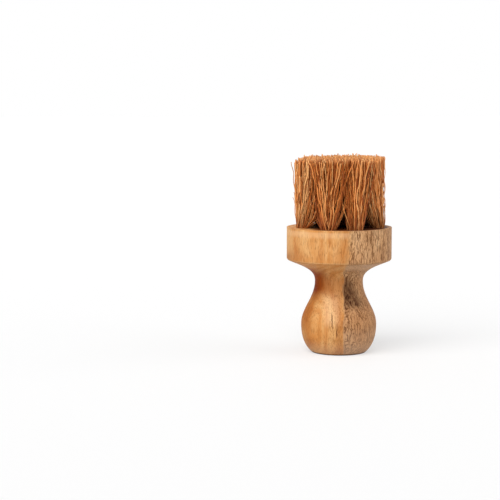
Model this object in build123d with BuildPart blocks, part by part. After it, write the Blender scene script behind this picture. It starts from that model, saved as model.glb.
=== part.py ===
"""A palm brush: a turned wooden handle, drilled at its head for tufts of coarse plant fibre.

Each tuft is a bundle folded over a flat steel anchor, which is wedged across its hole. All lengths are in
millimetres. The origin is the middle of the flat foot, and +Z runs up through the knob, the neck, the
head and the bristles. Angles round the brush start at the front, -Y, and grow towards +X.
"""

from build123d import *

import os
import random
from math import cos, degrees, pi, radians, sin, sqrt

# Handle: radii
foot_radius = 14.2
foot_round = 0.8
knob_radius = 19.8
neck_radius = 12.6
hollow_reach = 7.6  # how far the hollow over the neck runs out before the straight underside
head_radius = 27.5
rim_round = 1.4
skirt_round = 1.4  # the rounded lower edge of the head

# Handle: heights, each counted from the one before
knob_height = 14.8
neck_rise = 22.9
hollow_rise = 8.3
underside_rise = 3.0
head_wall = 17.0

# Handle: slopes of the side against the upright
foot_slope = 50.0
underside_slope = 64.0

# Tuft holes and anchors
hole_radius = 3.8
hole_floor = 5.0  # wood left between a hole's end and the level of the head's lower edge
rim_margin = 3.6  # wood outside the outer holes
row_pitch = 10.6
anchor_thickness = 0.5
anchor_width = 1.8
fold_thickness = 1.5  # fibre that passes under an anchor
fold_round = 1.4

# Bristles
bristle_length = 37.2
bristle_flare = 0.5  # how far the outermost tips stand outside the outer holes
middle_spread = 6.4  # radius that the middle tuft fills at the brush end
tuft_clearance = 0.05
root_collar = 0.8  # height to which a packed root stands out of its hole
strand_root = 0.58  # width across the flats
strand_tip = 1.0
strand_gap = 0.3  # least space between the strands of neighbouring tufts
trim_variation = 0.9
strand_stray = 0.08
strand_twist = 14.0  # degrees by which a strand may lie turned

# Counts
outer_tufts = 8
inner_tufts = 4
strand_rows = 5
strands_per_row = 7
trim_seed = 7

# Holes are drilled by eye: each sits off its even place by this share of the ring's pitch
first_angle = radians(-65)
outer_drift_shares = (-0.12, 0.02, -0.09, 0.14, 0.07, 0.0, -0.04, -0.06)
inner_drift_shares = (0.05, -0.04, 0.0, 0.06)

# A strand leans out fast near its root and then runs straighter
height_shares = (0.0, 0.16, 0.38, 1.0)
spread_shares = (0.0, 0.55, 0.88, 1.0)
row_stagger_share = 0.5
end_row_share = 0.7  # how far out in a round patch its last rows of strands stand

# Places that follow from the sizes
neck_height = knob_height + neck_rise
hollow_height = neck_height + hollow_rise
skirt_height = hollow_height + underside_rise
face_height = skirt_height + head_wall
hole_depth = head_wall - hole_floor
outer_ring = head_radius - rim_margin - hole_radius
inner_ring = outer_ring - row_pitch
plug_radius = hole_radius - tuft_clearance
anchor_length = 2 * plug_radius
bristle_radius = outer_ring + hole_radius + bristle_flare


def direction(slope):
    """The way the side runs at an angle to the upright, in the plane of the outline."""
    return (sin(radians(slope)), cos(radians(slope)))


def make_handle(sites):
    """The turned block: one piece of wood from the foot to the head, with its tuft holes."""
    with BuildPart() as handle:
        with BuildSketch(Plane.XZ) as half_section:
            with BuildLine():
                foot = Line((0, 0), (foot_radius, 0))
                side = Spline(
                    foot @ 1,
                    (knob_radius, knob_height),
                    (neck_radius, neck_height),
                    (neck_radius + hollow_reach, hollow_height),
                    tangents=(direction(foot_slope), (0, 1), (0, 1), direction(underside_slope)),
                )
                underside = Line(side @ 1, (head_radius, skirt_height))
                wall = Line(underside @ 1, (head_radius, face_height))
                face = Line(wall @ 1, (0, face_height))
                Line(face @ 1, foot @ 0)
            make_face()
            corners = half_section.vertices().sort_by(Axis.X)[-2:].sort_by(Axis.Y)
            fillet(corners[0], skirt_round)
            fillet(corners[1], rim_round)
        revolve(axis=Axis.Z)
        fillet(handle.faces().sort_by(Axis.Z)[0].edges(), foot_round)
        with Locations(*sites):
            Hole(hole_radius, hole_depth)
    return handle.part


def anchor_seat(site):
    """The plane on which a hole's anchor stands, over the folded fibre."""
    return site.offset(fold_thickness - hole_depth)


def anchor_strip(mode):
    """A flat strip across the hole, on edge."""
    Box(
        anchor_thickness,
        anchor_length,
        anchor_width,
        align=(Align.CENTER, Align.CENTER, Align.MIN),
        mode=mode,
    )


def make_anchor(site):
    with BuildPart() as anchor:
        with Locations(anchor_seat(site)):
            anchor_strip(Mode.ADD)
    return anchor.part


def hole_site(ring, angle):
    """The plane on the head's face at one hole's mouth, with X pointing outward."""
    outward = (sin(angle), -cos(angle), 0)
    return Plane(origin=(ring * outward[0], ring * outward[1], face_height), x_dir=outward, z_dir=(0, 0, 1))


def ring_angles(count, first, drift_shares):
    """The angle of each hole in a ring."""
    pitch = 2 * pi / count
    return [first + pitch * (k + drift_shares[k % len(drift_shares)]) for k in range(count)]


def ring_fields(angles, inside, outside):
    """The patch of the trimmed brush end that each tuft of a ring fills: radii, then angles."""
    count = len(angles)
    fields = []
    for k, angle in enumerate(angles):
        before = angles[k - 1] - (2 * pi if k == 0 else 0)
        after = angles[(k + 1) % count] + (2 * pi if k == count - 1 else 0)
        fields.append((inside, outside, (before + angle) / 2, (angle + after) / 2))
    return fields


def tuft_grid():
    """Where the strands of a tuft stand, in staggered rows: outward and sideways, from -1 to 1."""
    grid = []
    row_run = strands_per_row - 1 + row_stagger_share
    for row in range(strand_rows):
        outward = 2 * row / (strand_rows - 1) - 1
        for k in range(strands_per_row):
            sideways = 2 * (k + row_stagger_share * (row % 2)) / row_run - 1
            grid.append((outward, sideways))
    return grid


def disc_point(reach, outward, sideways):
    """The place in a round patch, of a given reach, that matches one in the grid."""
    x = end_row_share * outward
    return (reach * x, reach * sideways * sqrt(1 - x * x))


def root_point(ring, angle, outward, sideways):
    """Where a strand stands in its packed root."""
    a, b = disc_point(plug_radius - strand_root / sqrt(2), outward, sideways)
    return ((ring + a) * sin(angle) + b * cos(angle), b * sin(angle) - (ring + a) * cos(angle))


def disc_tip(outward, sideways):
    """Where a strand of the middle tuft ends."""
    a, b = disc_point(middle_spread - strand_tip / sqrt(2), outward, sideways)
    return (b, -a)


def ring_tip(field, outward, sideways):
    """Where a strand ends in its ring tuft's patch of the brush end, with even room for each."""
    inside, outside, low_angle, high_angle = field
    low_square = (inside + strand_tip / sqrt(2) + strand_gap) ** 2
    high_square = (outside - strand_tip / sqrt(2)) ** 2
    reach = sqrt((low_square + high_square + (high_square - low_square) * outward) / 2)
    half_turn = (high_angle - low_angle) / 2 - (strand_tip / sqrt(2) + strand_gap / 2) / reach
    angle = (low_angle + high_angle) / 2 + half_turn * sideways
    return (reach * sin(angle), -reach * cos(angle))


def strand_stations(root, tip, length, chance):
    """The middle and the width of a strand at each of its level stations, from the root up."""
    stations = []
    for height_share, spread_share in zip(height_shares, spread_shares):
        width = strand_root + (strand_tip - strand_root) * height_share
        stray = strand_stray * height_share
        x = root[0] + (tip[0] - root[0]) * spread_share + chance.uniform(-stray, stray)
        y = root[1] + (tip[1] - root[1]) * spread_share + chance.uniform(-stray, stray)
        stations.append(((x, y, face_height + length * height_share), width))
    return stations


def make_strand(stations, turn):
    """One four-sided strand, lofted straight from station to station."""
    with BuildPart() as strand:
        for middle, width in stations:
            with BuildSketch(Plane(origin=middle)):
                Rectangle(width, width, rotation=turn)
        loft(ruled=True)
    return strand.part


def make_tuft(site, strands):
    """A packed root that fills its hole, folded under the anchor, with its strands fused to it."""
    with BuildPart() as tuft:
        with Locations(site.offset(-hole_depth)):
            Cylinder(plug_radius, hole_depth + root_collar, align=(Align.CENTER, Align.CENTER, Align.MIN))
        fillet(tuft.faces().sort_by(Axis.Z)[0].edges(), fold_round)
        with Locations(anchor_seat(site)):
            anchor_strip(Mode.SUBTRACT)
        add(strands)
    return tuft.part


def write_piece(part, name):
    part.label = name
    export_step(part, f"parts/{name}.step")


# Every tuft's name, ring, angle and patch of the brush end, from the middle out
outer_angles = ring_angles(outer_tufts, first_angle, outer_drift_shares)
inner_first_angle = first_angle + pi / outer_tufts  # the inner holes stand between the outer ones
inner_angles = ring_angles(inner_tufts, inner_first_angle, inner_drift_shares)
inner_edge = (inner_ring + outer_ring) / 2
inner_fields = ring_fields(inner_angles, middle_spread, inner_edge)
outer_fields = ring_fields(outer_angles, inner_edge, bristle_radius)
places = [("middle", 0, 0, None)]
for k in range(inner_tufts):
    places.append((f"inner_{k + 1}", inner_ring, inner_angles[k], inner_fields[k]))
for k in range(outer_tufts):
    places.append((f"outer_{k + 1}", outer_ring, outer_angles[k], outer_fields[k]))

os.makedirs("parts", exist_ok=True)
sites = [hole_site(ring, angle) for _, ring, angle, _ in places]
write_piece(make_handle(sites), "handle")
chance = random.Random(trim_seed)
for (name, ring, angle, field), site in zip(places, sites):
    strands = []
    for outward, sideways in tuft_grid():
        root = root_point(ring, angle, outward, sideways)
        tip = ring_tip(field, outward, sideways) if field else disc_tip(outward, sideways)
        length = bristle_length - chance.uniform(0, trim_variation)
        stations = strand_stations(root, tip, length, chance)
        strands.append(make_strand(stations, degrees(angle) + chance.uniform(-strand_twist, strand_twist)))
    write_piece(make_tuft(site, strands), f"{name}_tuft")
    write_piece(make_anchor(site), f"{name}_anchor")
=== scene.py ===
import random
from math import atan2, cos, hypot, pi, radians, sin, sqrt

import bpy
import numpy as np
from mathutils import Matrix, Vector


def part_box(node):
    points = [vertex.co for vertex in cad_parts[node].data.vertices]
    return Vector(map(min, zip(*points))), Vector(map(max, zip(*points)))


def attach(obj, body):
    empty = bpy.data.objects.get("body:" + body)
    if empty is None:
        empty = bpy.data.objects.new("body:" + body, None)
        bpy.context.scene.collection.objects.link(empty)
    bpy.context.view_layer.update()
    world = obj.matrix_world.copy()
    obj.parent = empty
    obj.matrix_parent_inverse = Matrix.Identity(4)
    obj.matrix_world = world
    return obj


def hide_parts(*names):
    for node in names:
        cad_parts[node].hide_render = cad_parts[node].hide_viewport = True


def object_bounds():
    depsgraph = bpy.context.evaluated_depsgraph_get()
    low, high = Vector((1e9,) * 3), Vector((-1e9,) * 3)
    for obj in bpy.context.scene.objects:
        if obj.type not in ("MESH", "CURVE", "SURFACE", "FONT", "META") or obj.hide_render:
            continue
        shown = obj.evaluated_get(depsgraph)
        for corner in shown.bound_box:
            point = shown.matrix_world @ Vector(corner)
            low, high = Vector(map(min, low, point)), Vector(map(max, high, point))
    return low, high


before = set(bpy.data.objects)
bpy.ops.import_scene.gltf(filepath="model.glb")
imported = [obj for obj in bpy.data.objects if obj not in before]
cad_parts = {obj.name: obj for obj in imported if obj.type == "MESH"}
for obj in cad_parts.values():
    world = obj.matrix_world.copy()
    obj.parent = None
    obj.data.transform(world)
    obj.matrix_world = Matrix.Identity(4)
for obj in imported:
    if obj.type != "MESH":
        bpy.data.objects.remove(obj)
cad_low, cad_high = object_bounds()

# Units
mm = 0.001

# Camera, fitted to the outline of the photographed handle
camera_place = Vector((-46.8, -756.7, 131.2)) * mm
camera_fall = radians(5.845)
focal_pixels = 1447.6
picture_pixels = 500
sensor_width = 36.0

# Lamps: azimuth, elevation and apparent width in degrees, and strength
lamps = {
    "key": (-33, 45, 56, 2.65),
    "fill": (82, 20, 60, 1.08),
}
world_light = 0.40
seen_light = 1.0  # the background as the camera sees it

# Floor: how pale it is where it throws light back, and where the camera sees it
floor_half = 12.0
floor_grey = 0.62
seen_floor_grey = 0.40
seen_floor_glow = 0.50
floor_roughness = 0.85

# Tufts
hole_radius = 3.8 * mm
hole_depth = 12.0 * mm
anchor_lift = 1.5 * mm  # from the hole's end to the anchor
anchor_half = 0.25 * mm
row_half = 5.3 * mm  # half the distance between the two rings of holes
middle_spread = 6.4 * mm
bristle_radius = 23.7 * mm
root_swell = 0.18  # how much wider than its hole a tuft stands just outside it
seed = 11

# Fibres: both ends of each stand up
folded_fibres = 84  # in each tuft
locks = 11  # bunches that a tuft's fibres gather in
fibre_sides = 5
leg_rings = 30
hole_rings = 3
fold_rings = 5
thin_fibre = 0.15 * mm
thick_fibre = 0.38 * mm
thin_power = 1.6  # thin fibres outnumber thick ones
fibre_flat_shares = (0.65, 1.0)
knot_share = 0.12  # how much a fibre's thickness changes along it
knot_turn = 1.7

# Shares of the fibre ends that stand out
wild_share = 0.13
stray_share = 0.10
broken_share = 0.045
tall_share = 0.07
stray_edge_share = 0.90  # strays stand outside this share of the brush's radius
broken_edge_share = 0.86

# How soon the fibres lean into the gap after each outer tuft, from its near and its far side
gap_lean = {
    "outer_1": (3.4, 2.3),
    "outer_2": (1.4, 1.0),
    "outer_3": (1.3, 5.0),
    "outer_4": (2.0, 3.0),
    "outer_5": (5.0, 1.6),
    "outer_6": (1.7, 2.4),
    "outer_7": (9.0, 9.0),
    "outer_8": (1.9, 2.2),
}
inner_lean = 4.5
inner_push = 4.5 * mm  # how far the inner tufts reach out between the outer ones
upright_lean = 1.1  # in the middle of a tuft
side_reach_share = 1.1
side_power = 3
lean_shares = (0.9, 1.15)
wild_leans = (1.0, 2.0)

# How far the place where two outer tufts' ends meet lies off the middle, in degrees
gap_shift = {"outer_1": 4.0, "outer_2": 4.6, "outer_3": -6.5}

# How much paler or darker than the others a tuft's fibres are, at its near and its far side
tuft_tone = {
    "outer_1": (0.16, 0.28),
    "outer_2": (-0.60, 0.08),
    "outer_3": (-0.20, -0.22),
    "outer_4": (0.38, 0.34),
    "outer_8": (0.16, 0.16),
}
fibre_tones = (0.0, 0.38, 0.84)
tone_spread = 0.12
# Painted shade on the fibres at an outer tuft's sides, by the gaps
gap_side_shade = 0.16  # how much darker the fibres are at a tuft's sides, for a whole radius
gap_side_shade_start = 0.5
# Painted shade inside the bristles: how deep it reaches its darkest, and how much of it the outer tufts get
shade_depth = 9.0 * mm  # from the bristles' outside to where they are darkest
outer_shade_share = 0.45

# The trimmed end: it rises to the right, and its rim is worn down, less so at the right
trim_depth = 1.5 * mm
trim_slope = 0.012
worn_rim = 1.6 * mm
worn_rim_slope = 0.040
worn_rim_power = 9
tall_extra = (0.3 * mm, 1.0 * mm)

# How a fibre end runs from its hole to its tip: each pair is the least and the most
point_jitter = 0.02
lock_jitter = 0.12
fold_jitter = 0.15
loose_share = 0.50
gather_shares = (0.0, 0.4)
edge_shares = (0.95, 1.01)
broken_shares = (0.35, 0.85)
broken_stray = (0.5 * mm, 1.9 * mm)
loose_stray = (0.4 * mm, 2.2 * mm)
weave_size = (0.15 * mm, 0.50 * mm)
weave_length = (8.0 * mm, 16.0 * mm)
swing_size = (0.03 * mm, 0.16 * mm)
swing_length = (6.0 * mm, 14.0 * mm)
drift_size = 0.65 * mm
drift_length = (32.0 * mm, 70.0 * mm)
swerve_size = 1.1 * mm
wild_swerve_size = 3.0 * mm
swerve_start_share = 0.3  # of the bristles' length
swerve_power = 1.4
stray_power = 1.6
ring_power = 1.15  # the rings of a fibre end stand closer at its root
tip_overrun = 0.2 * mm

# Marks in the wood: how often they come across and along the grain, per millimetre, the noise's detail
# and roughness, and the levels of the noise at which a mark begins and is full
wood_marks = {
    "pores": (2.6, 0.34, 1.0, 0.5, 0.60, 0.70),
    "flecks": (1.30, 0.20, 3.0, 0.65, 0.52, 0.57),
    "breaks": (0.55, 0.16, 2.0, 0.5, 0.40, 0.52),
    "blotches": (0.10, 0.08, 3.0, 0.55, 0.46, 0.66),
    "pale_strokes": (1.5, 0.22, 2.0, 0.5, 0.56, 0.68),
    "checks": (1.25, 0.20, 2.0, 0.6, 0.57, 0.64),
    "dark_strokes": (2.0, 0.55, 2.0, 0.6, 0.52, 0.60),
}

# Heights in the wood, in millimetres over the foot: where a look begins and is full, and where a look
# with four heights begins to fade and is gone
wood_heights = {
    "border_lean": (48.0, 66.0),
    "soft_border": (44.0, 54.0),
    "head": (44.0, 52.0),
    "head_strokes": (44.0, 50.0),
    "knob_highlight": (14.0, 19.0, 27.0, 35.0),
    "knob_strokes": (6.0, 9.0, 15.0, 19.0),
    "lower_grey": (36.0, 26.0),
    "dark_patch": (22.5, 28.0, 36.5, 43.0),
    "knob_seam": (27.0, 22.0),
    "left_side_shade": (44.0, 30.0),
    "above_foot": (9.0, 20.0),
    "below_neck": (42.0, 34.0),
    "dull_knob": (34.0, 31.0),
    "dull_head": (45.0, 50.0),
    "face": (65.6, 65.95),
    "grey_foot": (17.0, 9.0),
    "foot": (9.0, 2.0),
    "underside": (43.5, 46.0, 48.0, 49.0),
    "under_rim": (61.2, 63.6, 64.5, 65.5),
    "low_wall": (58.0, 50.5),
    "wall": (48.0, 49.0),
    "foot_edge": (1.1, 0.25),
}
# Heights of the darker band round the neck, painted shade with some soaked finish: where it begins and is
# full, and how far under its top it begins to fade
neck_soak_shade_low = (28.0, 35.0)
neck_soak_shade_fade = 7.0
head_edge = 49.3

# Places across the wood, in millimetres right of its axis: where a look begins and is full
wood_sides = {
    "checks": (-8.0, -2.0),
    "knob_strokes": (-8.0, -5.0),
    "right": (6.0, 14.0),
    "neck_soak_shade": (-4.5, -9.0),
    "neck_soak_shade_top": (-5.0, -9.0),
    "by_border": (-5.0, -0.5),
    # where the painted shade on the face between the tufts begins and is full
    "painted_shade": (-18.0, -11.0),
    "left_wall": (-20.5, -26.5),
}

# Drying cracks in the knob: how far right of its axis, and between which heights
knob_cracks = ((-4.6, 14.0, 24.0), (-2.0, 9.5, 17.0))


class Graph:
    """Adds nodes to one material or world, and joins them."""

    def __init__(self, tree):
        self.tree = tree

    def node(self, kind, **settings):
        node = self.tree.nodes.new("ShaderNode" + kind)
        for name, value in settings.items():
            setattr(node, name, value)
        return node

    def put(self, socket, value):
        """Gives an input a constant, or joins it to an output."""
        if isinstance(value, bpy.types.NodeSocket):
            self.tree.links.new(value, socket)
        else:
            socket.default_value = value

    def math(self, operation, *values):
        node = self.node("Math", operation=operation)
        for socket, value in zip(node.inputs, values):
            self.put(socket, value)
        return node.outputs[0]

    def add(self, first, second):
        return self.math("ADD", first, second)

    def minus(self, first, second):
        return self.math("SUBTRACT", first, second)

    def times(self, product, *factors):
        for factor in factors:
            product = self.math("MULTIPLY", product, factor)
        return product

    def centred(self, value, size):
        """Spreads a value between 0 and 1 over a size, about zero."""
        return self.times(self.minus(value, 0.5), size)

    def waves(self, value, half_wave):
        """Runs evenly from 0 to 1 over half a wave, and back over the other half."""
        return self.math("DIVIDE", self.math("PINGPONG", value, half_wave), half_wave)

    def vector(self, operation, *values):
        node = self.node("VectorMath", operation=operation)
        for socket, value in zip(node.inputs, values):
            self.put(socket, value)
        return node.outputs["Value" if operation == "LENGTH" else "Vector"]

    def span(self, value, low, high, out_low=0.0, out_high=1.0):
        """Maps a value smoothly from one range to another, and holds it there."""
        node = self.node("MapRange", interpolation_type="SMOOTHSTEP")
        for socket, given in zip(node.inputs, (value, low, high, out_low, out_high)):
            self.put(socket, given)
        return node.outputs[0]

    def band(self, value, start, full, fading, end):
        """Rises smoothly to 1 between two values, and falls back to 0 between two others."""
        return self.times(self.span(value, start, full), self.span(value, end, fading))

    def near(self, value, middle, far, close):
        """Is 1 where a value is close to a middle, and 0 where it is far from it."""
        return self.span(self.math("ABSOLUTE", self.minus(value, middle)), far, close)

    def noise(self, vector, scale=1.0, detail=2.0, roughness=0.5):
        node = self.node("TexNoise")
        self.put(node.inputs["Vector"], vector)
        node.inputs["Scale"].default_value = scale
        node.inputs["Detail"].default_value = detail
        node.inputs["Roughness"].default_value = roughness
        return node.outputs["Fac"]

    def attribute(self, name):
        return self.node("Attribute", attribute_name=name).outputs["Fac"]

    def place(self):
        """The place in the piece's own space."""
        return self.node("TexCoord").outputs["Object"]

    def mix(self, share, first, second, blend="MIX"):
        node = self.node("Mix", data_type="RGBA", blend_type=blend)
        factor, first_color, second_color = node.inputs["Factor"], node.inputs[6], node.inputs[7]
        self.put(factor, share)
        self.put(first_color, first)
        self.put(second_color, second)
        return node.outputs[2]

    def ramp(self, value, *stops):
        node = self.node("ValToRGB")
        self.put(node.inputs[0], value)
        elements = node.color_ramp.elements
        while len(elements) < len(stops):
            elements.new(0.5)
        for element, (place, color) in zip(elements, stops):
            element.position = place
            element.color = color
        return node.outputs[0]

    def bump(self, height, distance, strength):
        node = self.node("Bump")
        self.put(node.inputs["Height"], height)
        node.inputs["Distance"].default_value = distance
        node.inputs["Strength"].default_value = strength
        return node.outputs[0]


def shade(red, green, blue):
    """A colour as seen on the screen, from 0 to 255, as the linear values that a shader takes."""
    linear = []
    for value in (red, green, blue):
        share = value / 255
        linear.append(share / 12.92 if share <= 0.04045 else ((share + 0.055) / 1.055) ** 2.4)
    return (*linear, 1.0)


def grey(value):
    return (value, value, value, 1.0)


def new_material(name):
    material = bpy.data.materials.new(name)
    material.use_nodes = True
    return material, Graph(material.node_tree), material.node_tree.nodes["Principled BSDF"]


class Wood:
    """Turned hardwood: amber on one side of a plane, grey-brown with many dark marks on the other.

    Places are in millimetres: across grows to the right, deep from the front to the back, and up from the
    foot. The looks are laid over each other in the order of paint.
    """

    def __init__(self):
        self.material, self.graph, self.shader = new_material("wood")
        graph = self.graph
        self.place = graph.vector("MULTIPLY", graph.place(), (1 / mm, 1 / mm, 1 / mm))
        split = graph.node("SeparateXYZ")
        graph.put(split.inputs[0], self.place)
        self.across, self.deep, self.up = split.outputs
        self.level = graph.vector("LENGTH", graph.vector("MULTIPLY", self.place, (1.0, 1.0, 0.0)))
        self.color = None

    def paint(self):
        self.find_border()
        self.find_grain()
        self.lay_amber()
        self.lay_grey()
        self.darken_border()
        self.stain_and_shade_neck()
        self.dull_tones()
        self.shade_face()
        self.pale_ends()
        self.shade_head()
        self.paint_edge_light()
        self.crack_knob()
        self.finish_surface()

    def grain(self, sideways, upright, detail=2.0, roughness=0.5):
        """A noise with its own scale across and along the grain."""
        stretched = self.graph.vector("MULTIPLY", self.place, (sideways, sideways, upright))
        return self.graph.noise(stretched, detail=detail, roughness=roughness)

    def marks(self, name):
        """One kind of mark from the table of marks, as a mask."""
        sideways, upright, detail, roughness, low, high = wood_marks[name]
        return self.graph.span(self.grain(sideways, upright, detail, roughness), low, high)

    def high(self, name, *results):
        """A mask from the table of heights, or a value that changes between the two heights named there."""
        heights = wood_heights[name]
        if len(heights) == 4:
            return self.graph.band(self.up, *heights)
        return self.graph.span(self.up, *heights, *results)

    def aside(self, name, *results):
        """The same from the table of places across the wood."""
        return self.graph.span(self.across, *wood_sides[name], *results)

    def tint(self, mask, color, strength=1.0, blend="MIX"):
        """Lays a colour over the wood, as strongly as the mask and the strength say."""
        self.color = self.graph.mix(self.graph.times(mask, strength), self.color, color, blend)

    def find_border(self):
        """The upright plane between the two kinds of wood, which wavers and leans a little."""
        graph = self.graph
        border = 1.0
        waver, fine_waver, lean = 3.4, 1.1, 0.8
        edge = graph.add(self.across, graph.centred(self.grain(0.30, 0.10, 3.0), waver))
        edge = graph.add(edge, graph.centred(self.grain(1.10, 0.50), fine_waver))
        self.edge = graph.minus(edge, self.high("border_lean", 0.0, lean))
        softness = self.high("soft_border", 1.0, 6.0)
        self.stained = graph.span(self.edge, border, graph.add(softness, border))
        self.amber_share = graph.minus(1.0, self.stained)
        self.marked = graph.span(self.edge, border, self.high("head", 2.4, 4.6))

    def find_grain(self):
        """Growth rings about an axis outside the brush, layers nearly square to the front, and marks."""
        graph = self.graph
        tree_axis = (64.0, 18.0, 0.0)
        tree_stretch = (1.0, 1.0, 0.06)
        layer_tilt = (0.9, 0.35)
        ring_half, fine_ring_half, layer_half = 2.3, 0.62, 0.66
        ring_waver, fine_waver, layer_waver = 16.0, 2.4, 6.0

        from_axis = graph.vector("SUBTRACT", self.place, tree_axis)
        radius = graph.vector("LENGTH", graph.vector("MULTIPLY", from_axis, tree_stretch))
        radius = graph.add(radius, graph.centred(self.grain(0.055, 0.020), ring_waver))
        self.rings = graph.waves(radius, ring_half)
        self.breaks = self.marks("breaks")
        fine_radius = graph.add(radius, graph.centred(self.grain(0.35, 0.16), fine_waver))
        self.lines = graph.times(graph.span(graph.waves(fine_radius, fine_ring_half), 0.36, 0.12), self.breaks)

        deep_tilt, across_tilt = layer_tilt
        layer = graph.add(graph.times(self.deep, deep_tilt), graph.times(self.across, across_tilt))
        layer = graph.add(layer, graph.centred(self.grain(0.30, 0.15, 3.0, 0.62), layer_waver))
        fading = graph.span(self.grain(0.28, 0.12), 0.34, 0.56, 0.30, 1.0)
        self.layers = graph.times(graph.span(graph.waves(layer, layer_half), 0.52, 0.14), fading)

        self.cloud = self.grain(0.16, 0.07, 4.0, 0.6)
        self.pores = self.marks("pores")
        self.flecks = self.marks("flecks")

    def lay_amber(self):
        graph = self.graph
        self.color = graph.ramp(
            graph.add(graph.times(self.cloud, 0.72), graph.times(self.rings, 0.28)),
            (0.24, shade(188, 116, 58)),
            (0.42, shade(211, 148, 87)),
            (0.60, shade(222, 167, 107)),
            (0.85, shade(232, 184, 128)),
        )
        self.tint(self.marks("blotches"), shade(212, 140, 70), 0.50)
        self.tint(self.marks("pale_strokes"), shade(246, 204, 144), self.high("head_strokes", 0.16, 0.28))
        # Painted highlight on the front of the knob, a little left of its axis
        highlight_middle, highlight_far, highlight_close = -4.5, 6.0, 2.0
        patch = graph.near(self.across, highlight_middle, highlight_far, highlight_close)
        self.tint(graph.times(patch, self.high("knob_highlight")), shade(250, 218, 176), 0.30)
        checks = graph.times(self.marks("checks"), self.aside("checks", 0.45, 1.0))
        self.tint(checks, shade(150, 88, 40), 0.42)
        self.tint(self.pores, shade(136, 80, 38), 0.50)
        strokes = graph.times(self.high("knob_strokes"), self.aside("knob_strokes"))
        self.tint(graph.times(self.marks("dark_strokes"), strokes), shade(150, 92, 42), 0.34)
        self.tint(self.lines, shade(150, 90, 44), 0.22)

    def lay_grey(self):
        """The grey-brown side. Its dark marks begin at the border, its ground colour more slowly."""
        graph = self.graph
        ground = graph.ramp(
            self.cloud,
            (0.25, shade(186, 136, 92)),
            (0.50, shade(206, 158, 112)),
            (0.75, shade(218, 175, 130)),
        )
        self.tint(self.stained, ground)
        layer_strength = self.high("head", self.aside("right", 0.82, 0.56), 0.50)
        self.tint(graph.times(self.marked, self.layers), shade(104, 62, 34), layer_strength)
        self.tint(graph.times(self.marked, self.flecks), shade(108, 68, 38), self.high("head", 0.52, 0.76))
        self.tint(graph.times(self.marked, self.pores), shade(102, 62, 34), 0.38)
        self.tint(self.marked, shade(236, 226, 220), self.high("lower_grey", 0.0, 0.9), "MULTIPLY")

    def darken_border(self):
        """A dark patch by the border at the neck, and a dark line down the knob."""
        graph = self.graph
        slant = 0.5
        patch_ends, patch_full = 28.0, 21.5
        slanted = graph.add(self.across, graph.times(self.up, slant))
        patch = graph.span(slanted, patch_ends, patch_full)
        patch = graph.times(patch, self.high("dark_patch"), self.marked)
        streaks = graph.span(self.grain(1.0, 0.12, 3.0, 0.6), 0.36, 0.54, 0.68, 1.0)
        strength = graph.add(graph.times(self.layers, 0.18), 0.82)
        self.tint(graph.times(patch, streaks), shade(64, 32, 12), strength)
        seam_middle, seam_far, seam_close = 2.3, 0.8, 0.2
        seam = graph.near(self.edge, seam_middle, seam_far, seam_close)
        self.tint(graph.times(seam, self.breaks, self.high("knob_seam")), shade(116, 70, 38), 0.4)

    def stain_and_shade_neck(self):
        """Round the neck under the head: painted shade from the head's overhang and, most at the left, from a
        neighbour, with some finish soaked in deeper.
        """
        graph = self.graph
        left_shares = (-0.58, -0.98)
        front_depths = (8.0, 1.0)
        left = graph.span(graph.math("DIVIDE", self.across, self.level), *left_shares)
        left = graph.times(left, graph.span(self.deep, *front_depths))
        top = self.aside("neck_soak_shade_top", 44.0, 48.0)
        neck = graph.band(self.up, *neck_soak_shade_low, graph.minus(top, neck_soak_shade_fade), top)
        broad = graph.add(graph.centred(self.cloud, 0.4), self.aside("neck_soak_shade", 0.40, 0.76))
        soak_and_shade = graph.times(neck, graph.add(graph.times(left, 0.34), broad))
        soak_and_shade = graph.times(soak_and_shade, graph.minus(1.0, graph.times(self.stained, 0.75)))
        # Painted shade with some deeper soaked finish, in the band round the neck
        self.tint(graph.math("MAXIMUM", soak_and_shade, 0.0), shade(182, 120, 32), blend="MULTIPLY")
        # Painted shade down the left side of the knob and neck, from a neighbour at the left
        strength = graph.times(self.high("left_side_shade", 0.0, 0.85), self.high("above_foot", 0.5, 1.0))
        self.tint(left, shade(204, 168, 100), strength, "MULTIPLY")

    def dull_tones(self):
        """The knob is a trace duller, and so is the amber side towards the border, but for the neck."""
        graph = self.graph
        self.tint(self.high("below_neck"), shade(251, 250, 247), blend="MULTIPLY")
        strength = graph.add(self.high("dull_knob"), self.high("dull_head", 0.0, 0.6))
        duller = graph.times(self.aside("by_border"), self.amber_share)
        self.tint(duller, shade(236, 228, 222), strength, "MULTIPLY")

    def shade_face(self):
        """Painted shade on the face between the tufts, most on the grey side."""
        graph = self.graph
        unshaded_rim = (26.2, 24.2)
        # Painted shade between the tufts, short of the front rim, deeper on the grey side
        face_shade = graph.times(self.high("face"), graph.span(self.level, *unshaded_rim), self.aside("painted_shade"))
        self.tint(face_shade, shade(128, 90, 74), 0.95, "MULTIPLY")
        self.tint(graph.times(face_shade, self.stained), shade(160, 140, 140), 0.6, "MULTIPLY")

    def pale_ends(self):
        """Paler towards the foot, and on the grey side under the head."""
        graph = self.graph
        grey_foot = graph.times(self.stained, self.high("grey_foot", 0.0, 0.15))
        self.tint(graph.add(self.high("foot", 0.0, 0.22), grey_foot), shade(216, 182, 152))
        self.tint(graph.times(self.stained, self.high("underside")), shade(226, 188, 152), 0.35)

    def shade_head(self):
        """The head's wall is paler under the rim on the amber side, and has painted shade low down, most at
        the left.
        """
        graph = self.graph
        self.tint(graph.times(self.amber_share, self.high("under_rim")), shade(250, 206, 158), 0.30)
        # Painted shade low on the wall, deepest at the left
        darker = graph.times(self.high("low_wall"), self.high("wall"))
        self.tint(darker, shade(224, 208, 198), self.aside("left_wall", 0.30, 1.0), "MULTIPLY")

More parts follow.
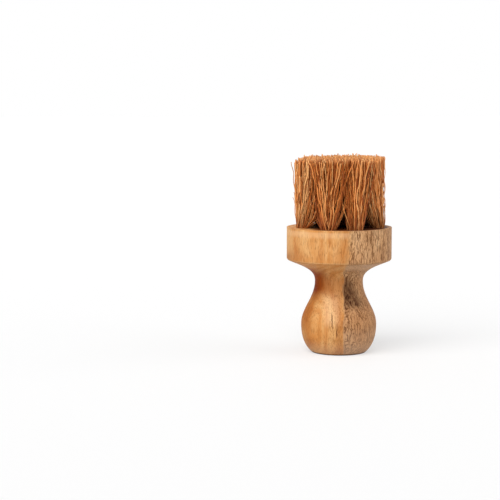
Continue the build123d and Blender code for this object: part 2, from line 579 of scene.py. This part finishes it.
    def paint_edge_light(self):
        """A painted highlight along the head's lower edge, and a painted contact shadow at the very edge of
        the foot.
        """
        graph = self.graph
        line_far, line_close = 0.5, 0.1
        # Painted highlight on the rounded lower edge, weaker on the grey side
        line = graph.near(self.up, head_edge, line_far, line_close)
        self.tint(line, shade(244, 198, 140), graph.span(self.stained, 0.0, 1.0, 0.3, 0.1))
        # Painted contact shadow where the foot meets the floor
        self.tint(self.high("foot_edge", 0.0, 0.9), shade(62, 34, 20))

    def crack_knob(self):
        """Fine drying cracks in the front of the knob, which taper at both ends."""
        graph = self.graph
        waver = 1.6
        crack_far, crack_close = 0.36, 0.14
        low_taper, high_taper = 2.0, 3.0
        front_depths = (-3.0, -4.0)
        line = graph.add(self.across, graph.centred(self.grain(0.1, 0.45), waver))
        self.cracks = 0.0
        for offset, low, high in knob_cracks:
            crack = graph.near(line, offset, crack_far, crack_close)
            crack = graph.times(crack, graph.band(self.up, low, low + low_taper, high - high_taper, high))
            self.cracks = graph.add(crack, self.cracks)
        self.cracks = graph.times(self.cracks, graph.span(self.deep, *front_depths))
        self.tint(self.cracks, shade(96, 54, 28), 0.85)

    def finish_surface(self):
        """A dull finish with fine turning marks, in which pores, flecks and cracks are hollow."""
        graph, inputs = self.graph, self.shader.inputs
        hollow = 0.05 * mm
        turning = self.grain(0.02, 2.6)
        relief = graph.add(graph.times(turning, 0.25), graph.times(self.pores, -0.8))
        relief = graph.add(relief, graph.times(self.flecks, -0.25))
        relief = graph.add(relief, graph.times(self.cracks, -2.0))
        graph.put(inputs["Base Color"], self.color)
        graph.put(inputs["Roughness"], graph.add(graph.times(self.cloud, 0.20), 0.44))
        inputs["Specular IOR Level"].default_value = 0.07
        graph.put(inputs["Normal"], graph.bump(relief, hollow, 0.8))


def fibre_material():
    """Coarse plant fibre: each one has its own tone, takes painted shade deep inside the brush, near its root
    and on its inner side, and is paler at its cut end, partly from painted light above.

    Along grows from 0 at the hole to 1 at the tip, depth from 0 outside the brush to 1 well inside, and front
    from 0 on a fibre's inner side to 1 on its outer side.
    """
    material, graph, shader = new_material("fibre")
    tone, along, depth, front = [graph.attribute(name) for name in ("tone", "along", "depth", "front")]
    place = graph.place()
    patches = graph.noise(graph.vector("MULTIPLY", place, (1.0, 1.0, 0.5)), 800.0, 3.0, 0.65)
    grain = graph.noise(graph.vector("MULTIPLY", place, (1.0, 1.0, 0.05)), 9000.0, 1.0)
    color = graph.ramp(
        graph.add(graph.times(tone, 0.70), graph.times(patches, 0.45)),
        (0.08, shade(112, 42, 4)),
        (0.36, shade(186, 98, 32)),
        (0.62, shade(238, 150, 76)),
        (0.92, shade(254, 194, 126)),
    )
    # Paler cut ends: partly the fibres' own paler cut, partly painted light from above on the trimmed top
    cut = graph.span(along, 0.88, 1.0)
    # Painted shade near the roots, where the fibres crowd over the face
    low = graph.span(along, 0.34, 0.0)
    # Painted shade deep inside the brush, a little weaker just above the roots
    above_root = graph.span(along, 0.28, 0.14, 0.62, 1.0)
    painted_shade = graph.times(graph.span(along, 0.92, 0.55), graph.span(depth, 0.08, 0.72), above_root)
    # Painted shade on each fibre's inner side, which faces into the brush
    shaded_inner_side = graph.times(graph.span(front, 0.64, 0.20), graph.span(along, 1.0, 0.9))
    color = graph.mix(graph.times(cut, 0.4), color, shade(230, 174, 114))
    color = graph.mix(graph.times(low, 0.52), color, shade(128, 66, 32))
    color = graph.mix(graph.times(painted_shade, 0.90), color, shade(56, 18, 5))
    color = graph.mix(graph.times(grain, 0.25), color, shade(120, 60, 24))
    color = graph.mix(graph.times(shaded_inner_side, 0.7), color, shade(166, 108, 66), "MULTIPLY")
    graph.put(shader.inputs["Base Color"], color)
    graph.put(shader.inputs["Roughness"], graph.add(graph.times(patches, 0.25), 0.36))
    shader.inputs["Specular IOR Level"].default_value = 0.20
    graph.put(shader.inputs["Normal"], graph.bump(grain, 0.03 * mm, 0.6))
    return material


def steel_material():
    """Bare flat wire with fine drawing marks."""
    material, graph, shader = new_material("steel")
    marks = graph.noise(graph.vector("MULTIPLY", graph.place(), (0.15, 0.15, 1.0)), 9000.0)
    graph.put(shader.inputs["Base Color"], graph.mix(marks, shade(176, 178, 182), shade(208, 209, 212)))
    shader.inputs["Metallic"].default_value = 1.0
    graph.put(shader.inputs["Roughness"], graph.add(graph.times(marks, 0.2), 0.25))
    return material


def set_material(thing, material):
    thing.data.materials.clear()
    thing.data.materials.append(material)


def sunflower(count, chance, jitter):
    """Evenly crowded points of a unit disc, a little shaken."""
    golden = pi * (3 - sqrt(5))
    points = []
    for k in range(count):
        reach = sqrt((k + 0.5) / count)
        x = reach * cos(k * golden) + chance.uniform(-jitter, jitter)
        y = reach * sin(k * golden) + chance.uniform(-jitter, jitter)
        points.append((x, y))
    return points


class Tuft:
    """A tuft's hole, and the patch of the brush end that it fills."""

    def __init__(self, name):
        low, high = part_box(f"{name}_anchor")
        middle = (low + high) / 2
        self.name = name
        self.ring = hypot(middle.x, middle.y)
        self.is_middle = self.ring <= mm
        self.angle = 0.0 if self.is_middle else atan2(middle.x, -middle.y)
        self.field = None
        self.is_outer = name in gap_lean
        self.lean_before = inner_lean
        self.lean_after, self.next_lean = gap_lean.get(name, (inner_lean, inner_lean))
        self.shift = radians(gap_shift.get(name, 0.0))
        self.near_tone, self.far_tone = tuft_tone.get(name, (0.0, 0.0))

    def point(self, outward, sideways):
        """A place in the brush's level plane, from this tuft's own directions."""
        reach = self.ring + outward
        return (
            reach * sin(self.angle) + sideways * cos(self.angle),
            sideways * sin(self.angle) - reach * cos(self.angle),
        )

    def tip(self, outward, sideways):
        """Where a fibre ends, for a place in the unit disc."""
        if self.field is None:
            return (middle_spread * sideways, -middle_spread * outward)
        inside, outside, low_angle, high_angle = self.field
        tiny = 0.001
        stretch = hypot(outward, sideways) / max(abs(outward), abs(sideways), tiny)
        low_square, high_square = inside**2, outside**2
        square = (low_square + high_square + (high_square - low_square) * outward * stretch) / 2
        reach = sqrt(min(max(square, 0.0), (bristle_radius + tip_overrun) ** 2))
        angle = (low_angle + high_angle) / 2 + (high_angle - low_angle) / 2 * sideways * stretch
        return (reach * sin(angle), -reach * cos(angle))

    def lean(self, outward, sideways):
        """How soon a fibre leans out: the more so, the nearer it stands to a gap."""
        towards_gap = self.lean_after if sideways > 0 else self.lean_before
        side = abs(sideways) if self.is_outer else hypot(outward, sideways)
        nearness = min(1.0, side_reach_share * side) ** side_power
        return upright_lean + (towards_gap - upright_lean) * nearness

    def nearest_lock(self, outward, sideways):
        """Where the bunch that a fibre belongs to has its root and its tip."""
        lock = min(self.locks, key=lambda place: (place[0] - outward) ** 2 + (place[1] - sideways) ** 2)
        return self.point(lock[0] * hole_radius, lock[1] * hole_radius), self.tip(*lock)

    def tone(self, sideways, chance):
        """How pale a fibre is, from 0 to 1."""
        tone = chance.gauss(chance.choice(fibre_tones), tone_spread)
        tone += self.near_tone + (self.far_tone - self.near_tone) * (1 + sideways) / 2
        if self.is_outer:
            # Painted shade on the fibres by the gaps at an outer tuft's sides
            tone -= gap_side_shade * max(0.0, abs(sideways) - gap_side_shade_start)
        return min(1.0, max(0.0, tone))


def find_tufts():
    """All tufts, each with its patch of the brush end."""
    names = [node[: -len("_tuft")] for node in sorted(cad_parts) if node.endswith("_tuft")]
    tufts = [Tuft(name) for name in names]
    border = max(tuft.ring for tuft in tufts) - row_half
    rings = (
        ([t for t in tufts if t.ring < border and not t.is_middle], middle_spread, border + inner_push),
        ([t for t in tufts if t.ring >= border], border, bristle_radius),
    )
    for ring, inside, outside in rings:
        ring.sort(key=lambda tuft: tuft.angle)
        for k, tuft in enumerate(ring):
            before = ring[k - 1].angle - (2 * pi if k == 0 else 0)
            after = ring[(k + 1) % len(ring)].angle + (2 * pi if k == len(ring) - 1 else 0)
            start = (before + tuft.angle) / 2 + ring[k - 1].shift
            tuft.field = (inside, outside, start, (tuft.angle + after) / 2 + tuft.shift)
            tuft.lean_before = ring[k - 1].next_lean
    return tufts


def settle(point, limit):
    """Folds a place that lies outside a circle back into it."""
    reach = hypot(*point)
    if reach <= limit:
        return point
    deepest_fold = 0.8
    factor = max(2 * limit - reach, deepest_fold * limit) / reach
    return (point[0] * factor, point[1] * factor)


def wave(size, turn, phase, rise):
    """A sine wave that starts at zero."""
    return size * (sin(turn * rise + phase) - sin(phase))


def leg_line(tuft, outward, sideways, face, end, chance):
    """The points of one standing fibre end, from the hole's mouth to the cut tip."""
    root = tuft.point(outward * hole_radius, sideways * hole_radius)
    centre = tuft.point(0.0, 0.0)
    wild = chance.random() < wild_share
    swerve = chance.gauss(0, wild_swerve_size if wild else swerve_size)
    tip = tuft.tip(outward + chance.gauss(0, loose_share), sideways + chance.gauss(0, loose_share))
    tip = settle(tip, bristle_radius)
    lock_root, lock_tip = tuft.nearest_lock(outward, sideways)
    gathering = chance.uniform(*gather_shares)

    # The trimmed height
    outside = hypot(*tip) / bristle_radius
    rim_wear = (worn_rim - worn_rim_slope * tip[0]) * outside**worn_rim_power
    top = end - chance.uniform(0.0, trim_depth) + trim_slope * tip[0] - rim_wear
    if chance.random() < tall_share:
        top += chance.uniform(*tall_extra)

    # How soon it leans out, and how far it may stand out of the brush
    lean = chance.uniform(*lean_shares) * tuft.lean(outward, sideways)
    if wild:
        lean = chance.uniform(*wild_leans)
    edge = bristle_radius * chance.uniform(*edge_shares)
    stray = 0.0
    if outside > broken_edge_share and chance.random() < broken_share:
        top = face + (top - face) * chance.uniform(*broken_shares)
        stray = chance.uniform(*broken_stray)
    elif outside > stray_edge_share and chance.random() < stray_share:
        stray = chance.uniform(*loose_stray)

    # Across the brush a fibre weaves in and out quickly; round it, it only drifts
    turned = atan2(root[0], -root[1])
    across = (sin(turned), -cos(turned))
    around = (cos(turned), sin(turned))
    weave = chance.uniform(*weave_size)
    weave_turn = 2 * pi / chance.uniform(*weave_length)
    swing = chance.uniform(*swing_size)
    swing_turn = 2 * pi / chance.uniform(*swing_length)
    drift = chance.gauss(0, drift_size)
    drift_turn = 2 * pi / chance.uniform(*drift_length)
    weave_phase, swing_phase, drift_phase = [chance.uniform(0, 2 * pi) for _ in range(3)]

    line = []
    for k in range(leg_rings):
        share = (k / (leg_rings - 1)) ** ring_power
        rise = (top - face) * share
        height = min(1.0, rise / (end - face))
        spread = 1 - (1 - height) ** lean
        pull = gathering * sin(pi * min(1.0, height * 0.85))
        bulge = root_swell * (1 - (1 - min(1.0, 7 * height)) ** 2) * (1 - height)
        inward = wave(weave, weave_turn, weave_phase, rise) * min(1.0, 3 * height)
        sidewise = wave(swing, swing_turn, swing_phase, rise) * min(1.0, 4 * height)
        sidewise += drift * sin(drift_turn * rise + drift_phase) * min(1.0, 3 * height)
        late = max(0.0, (height - swerve_start_share) / (1 - swerve_start_share))
        sidewise += swerve * late**swerve_power
        point = []
        for axis in (0, 1):
            value = root[axis] + (tip[axis] - root[axis]) * spread
            middle = lock_root[axis] + (lock_tip[axis] - lock_root[axis]) * spread
            value += (middle - value) * pull + (root[axis] - centre[axis]) * bulge
            value += across[axis] * inward + around[axis] * sidewise
            point.append(value)
        reach = max(hypot(*point), mm)
        factor = 1 + stray * share**stray_power / reach if stray else min(1.0, edge / reach)
        line.append((point[0] * factor, point[1] * factor, face + rise))
    return line


def folded_line(tuft, first, second, face, end, chance):
    """One fibre from tip to tip: down into the hole, under the anchor and up again."""
    legs = [leg_line(tuft, outward, sideways, face, end, chance) for outward, sideways in (first, second)]
    under = face - hole_depth + anchor_lift
    half = max(abs(first[0]) * hole_radius, anchor_half + thick_fibre)
    inside, back = [], []
    for k in range(hole_rings):
        z = face - (face - under) * (k + 1) / (hole_rings + 1)
        inside.append((*tuft.point(half, first[1] * hole_radius), z))
        back.append((*tuft.point(-half, second[1] * hole_radius), z))
    fold = []
    for k in range(fold_rings):
        share = (k + 0.5) / fold_rings
        side = first[1] + (second[1] - first[1]) * share
        x, y = tuft.point(half * cos(pi * share), side * hole_radius)
        fold.append((x, y, under - (anchor_lift - thick_fibre) * sin(pi * share) * half / hole_radius))
    return legs[0][::-1] + inside + fold + back[::-1] + legs[1]


class Tubes:
    """The closed tubes of one mesh, with the values that the fibre material reads at each point."""

    def __init__(self):
        self.points = []
        self.faces = []
        self.values = {"tone": [], "along": [], "depth": [], "front": []}

    def add_fibre(self, line, tuft, sideways, face, end, chance):
        """Lays a tube round a line. Its faces turn with the tuft, so that none is twisted."""
        guide = np.array((cos(tuft.angle), sin(tuft.angle), 0.0))
        ahead = np.gradient(line, axis=0)
        ahead /= np.linalg.norm(ahead, axis=1)[:, None]
        aside = guide - ahead * (ahead @ guide)[:, None]
        aside /= np.linalg.norm(aside, axis=1)[:, None]
        other = np.cross(ahead, aside)
        radius = thin_fibre + (thick_fibre - thin_fibre) * chance.random() ** thin_power
        flat = chance.uniform(*fibre_flat_shares)
        turn = chance.uniform(0, pi)
        tone = tuft.tone(sideways, chance)
        start = len(self.points)
        for ring, (x, y, z) in enumerate(line):
            reach = hypot(x, y)
            depth = (bristle_radius - reach) / shade_depth * (outer_shade_share if tuft.is_outer else 1.0)
            swell = 1 + knot_share * sin(ring * knot_turn + turn)
            for side in range(fibre_sides):
                angle = turn + 2 * pi * side / fibre_sides
                offset = aside[ring] * cos(angle) + other[ring] * sin(angle) * flat
                self.points.append(tuple(line[ring] + offset * radius * swell))
                self.values["tone"].append(tone)
                self.values["along"].append(max(0.0, (z - face) / (end - face)))
                self.values["depth"].append(min(1.0, max(0.0, depth)))
                self.values["front"].append((1 + (offset[0] * x + offset[1] * y) / max(reach, mm)) / 2)
        self.close(start, len(line))

    def close(self, start, rings):
        """The walls and the two ends of a tube whose rings begin at a point."""
        for ring in range(rings - 1):
            low = start + ring * fibre_sides
            high = low + fibre_sides
            for side in range(fibre_sides):
                following = (side + 1) % fibre_sides
                self.faces.append((low + side, low + following, high + following, high + side))
        last = start + (rings - 1) * fibre_sides
        self.faces.append(tuple(start + side for side in reversed(range(fibre_sides))))
        self.faces.append(tuple(last + side for side in range(fibre_sides)))

    def mesh(self, name):
        mesh = bpy.data.meshes.new(name)
        mesh.from_pydata(self.points, [], self.faces)
        for value_name, values in self.values.items():
            attribute = mesh.attributes.new(value_name, "FLOAT", "POINT")
            attribute.data.foreach_set("value", values)
        for polygon in mesh.polygons:
            polygon.use_smooth = len(polygon.vertices) == 4
        return mesh


def tuft_mesh(tuft, face, end, chance):
    """All the folded fibres of one tuft in one mesh."""
    halves = [point for point in sunflower(4 * folded_fibres, chance, point_jitter) if point[0] > 0.0]
    chosen = chance.sample(halves, min(folded_fibres, len(halves)))
    tuft.locks = sunflower(locks, chance, lock_jitter)
    tubes = Tubes()
    for first in chosen:
        outward, sideways = first
        second = (-outward, sideways + chance.uniform(-fold_jitter, fold_jitter))
        line = np.array(folded_line(tuft, first, second, face, end, chance))
        tubes.add_fibre(line, tuft, sideways, face, end, chance)
    return tubes.mesh(f"{tuft.name}_fibres")


def make_tufts():
    material = fibre_material()
    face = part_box("handle")[1].z
    end = cad_high.z
    chance = random.Random(seed)
    for tuft in find_tufts():
        piece = bpy.data.objects.new(f"{tuft.name}_fibres", tuft_mesh(tuft, face, end, chance))
        bpy.context.scene.collection.objects.link(piece)
        set_material(piece, material)
        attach(piece, "root")
        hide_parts(f"{tuft.name}_tuft")


def dress_cad_nodes():
    wood = Wood()
    wood.paint()
    steel = steel_material()
    for name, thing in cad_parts.items():
        if name == "handle":
            set_material(thing, wood.material)
        elif name.endswith("_anchor"):
            set_material(thing, steel)


def make_camera():
    data = bpy.data.cameras.new("camera")
    data.sensor_width = sensor_width
    data.lens = focal_pixels / picture_pixels * sensor_width
    camera = bpy.data.objects.new("camera", data)
    camera.location = camera_place
    camera.rotation_euler = (pi / 2 - camera_fall, 0.0, 0.0)
    bpy.context.scene.collection.objects.link(camera)
    bpy.context.scene.camera = camera


def make_lamp(name, azimuth, elevation, width, strength):
    """A soft lamp. Azimuth 0 shines from the camera's side, and grows towards the right."""
    data = bpy.data.lights.new(name, "SUN")
    data.energy = strength
    data.angle = radians(width)
    lamp = bpy.data.objects.new(name, data)
    a, e = radians(azimuth), radians(elevation)
    towards = Vector((sin(a) * cos(e), -cos(a) * cos(e), sin(e)))
    lamp.rotation_euler = towards.to_track_quat("Z", "Y").to_euler()
    bpy.context.scene.collection.objects.link(lamp)


def make_world():
    """Soft light from all round, which is white where the camera, glass or a gloss shows it."""
    world = bpy.data.worlds.new("studio")
    bpy.context.scene.world = world
    world.use_nodes = True
    graph = Graph(world.node_tree)
    background = world.node_tree.nodes["Background"]
    path = graph.node("LightPath")
    seen = graph.math("MAXIMUM", path.outputs["Is Camera Ray"], path.outputs["Is Glossy Ray"])
    seen = graph.math("MAXIMUM", seen, path.outputs["Is Transmission Ray"])
    graph.put(background.inputs["Color"], grey(1.0))
    graph.put(background.inputs["Strength"], graph.span(seen, 0.0, 1.0, world_light, seen_light))


def make_floor():
    half = floor_half
    mesh = bpy.data.meshes.new("floor")
    corners = [(-half, -half, 0), (half, -half, 0), (half, half, 0), (-half, half, 0)]
    mesh.from_pydata(corners, [], [(0, 1, 2, 3)])
    floor = bpy.data.objects.new("floor", mesh)
    floor.location.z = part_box("handle")[0].z
    bpy.context.scene.collection.objects.link(floor)
    material, graph, shader = new_material("floor")
    path = graph.node("LightPath")
    seen = graph.math("MAXIMUM", path.outputs["Is Camera Ray"], path.outputs["Is Glossy Ray"])
    graph.put(shader.inputs["Base Color"], graph.mix(seen, grey(floor_grey), grey(seen_floor_grey)))
    graph.put(shader.inputs["Emission Strength"], graph.times(seen, seen_floor_glow))
    shader.inputs["Emission Color"].default_value = grey(1.0)
    shader.inputs["Roughness"].default_value = floor_roughness
    set_material(floor, material)


bpy.context.scene.view_settings.view_transform = "Standard"
make_camera()
for name, settings in lamps.items():
    make_lamp(name, *settings)
make_world()
make_floor()
dress_cad_nodes()
make_tufts()
